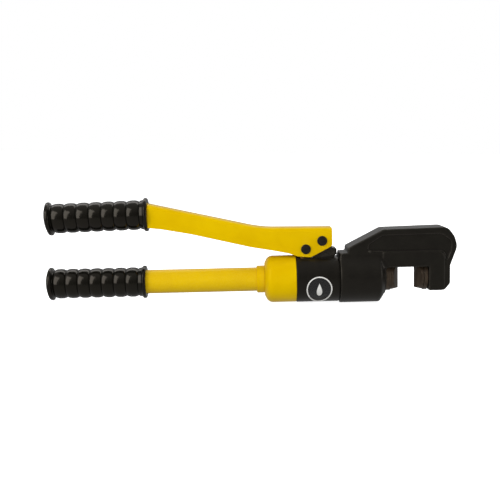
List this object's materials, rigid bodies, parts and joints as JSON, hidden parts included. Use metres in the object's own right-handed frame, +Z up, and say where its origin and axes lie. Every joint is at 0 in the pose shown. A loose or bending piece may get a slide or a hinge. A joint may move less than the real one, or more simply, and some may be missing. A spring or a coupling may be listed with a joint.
{
  "type": "hand hydraulic bar cutter",
  "caption": "Hand-pumped hydraulic cutter with a C-shaped head, a ram-driven blade facing a fixed blade, an oil-filled fixed handle and a hinged pump lever.",
  "frame": {"origin": "middle of the tool's box in X and Y, on the plane that its lowest point touches", "axes": "+X along the ram towards the cutting head, +Z up towards the pump lever, +Y towards the release knob"},
  "size_m": [0.5007, 0.0694, 0.1347],
  "materials": {
    "yellow_paint": "semi-gloss yellow powder coat",
    "black_oxide": "satin black, machined steel under it",
    "forged_black": "satin black on a forged surface",
    "blade_steel": "hardened tool steel with a brown temper tone",
    "grip_vinyl": "glossy moulded black vinyl",
    "pin_steel": "blackened steel",
    "bright_steel": "ground and polished",
    "spring_steel": "drawn wire and strip",
    "bronze": "turned bearing bronze",
    "seal_rubber": "matt black nitrile rubber",
    "white_plastic": "smooth white plastic film and ring"
  },
  "bodies": {
    "frame": {"cutter_head": "forged_black", "guide_bush": "bronze", "rod_wiper": "seal_rubber", "head_lock_screw": "pin_steel", "fixed_blade": "blade_steel", "fixed_blade_holder": "blade_steel", "fixed_blade_screw": "pin_steel", "ram_return_spring": "spring_steel", "pump_body": "black_oxide", "lever_ear": "black_oxide", "head_o_ring": "seal_rubber", "label_badge": "white_plastic", "plunger_gland": "bronze", "plunger_seal": "seal_rubber", "release_ball": "bright_steel", "relief_spring": "spring_steel", "relief_screw": "pin_steel", "suction_seat": "bright_steel", "suction_plug": "pin_steel", "delivery_spring": "spring_steel", "delivery_plug": "pin_steel", "body_collar": "yellow_paint", "tube_ferrule": "yellow_paint", "reservoir_tube": "yellow_paint", "tube_end_plug": "seal_rubber", "handle_grip": "grip_vinyl", "oil_bladder": "seal_rubber", "bladder_clamp": "bright_steel"},
    "lever": {"lever_channel": "yellow_paint", "lever_core": "yellow_paint", "lever_grip": "grip_vinyl", "fulcrum_pin": "pin_steel", "drive_pin": "pin_steel", "fulcrum_circlip": "spring_steel", "drive_circlip": "spring_steel"},
    "plunger": {"pump_plunger": "bright_steel"},
    "ram": {"ram_piston": "bright_steel", "ram_seal": "seal_rubber", "ram_backup_ring": "white_plastic", "moving_blade": "blade_steel", "moving_blade_holder": "blade_steel", "moving_blade_screw": "pin_steel"},
    "release_valve": {"release_spindle": "pin_steel", "release_knob": "black_oxide"},
    "suction_valve": {"suction_ball": "bright_steel"},
    "delivery_valve": {"delivery_ball": "bright_steel"},
    "relief_valve": {"relief_ball": "bright_steel"}
  },
  "joints": [
    {"name": "lever_hinge", "type": "hinge", "parent": "frame", "child": "lever", "pos_m": [0.08775, -0.00375, 0.0782], "axis": [0, 1, 0], "range_deg": [0, 52]},
    {"name": "plunger_slide", "type": "slide", "parent": "frame", "child": "plunger", "axis": [0, 0, 1], "range_m": [0, 0.0196]},
    {"name": "ram_slide", "type": "slide", "parent": "frame", "child": "ram", "axis": [1, 0, 0], "range_m": [0, 0.0194], "stiffness_N_per_m": 3000, "springref_m": -0.02, "deforming": ["ram_return_spring"]},
    {"name": "release_turn", "type": "hinge", "parent": "frame", "child": "release_valve", "pos_m": [0.08635, -0.00375, 0.038], "axis": [0, 1, 0], "range_deg": [0, 180]},
    {"name": "suction_lift", "type": "slide", "parent": "frame", "child": "suction_valve", "axis": [0, 0, 1], "range_m": [0, 0.0005]},
    {"name": "delivery_lift", "type": "slide", "parent": "frame", "child": "delivery_valve", "axis": [1, 0, 0], "range_m": [0, 0.0005], "stiffness_N_per_m": 150, "springref_m": -0.002, "deforming": ["delivery_spring"]},
    {"name": "relief_lift", "type": "slide", "parent": "frame", "child": "relief_valve", "axis": [0, 1, 0], "range_m": [0, 0.0005], "stiffness_N_per_m": 300, "springref_m": -0.004, "deforming": ["relief_spring"]}
  ],
  "couplings": [
    {"joint": "plunger_slide", "follows": "lever_hinge", "m_per_rad": 0.02143}
  ]
}
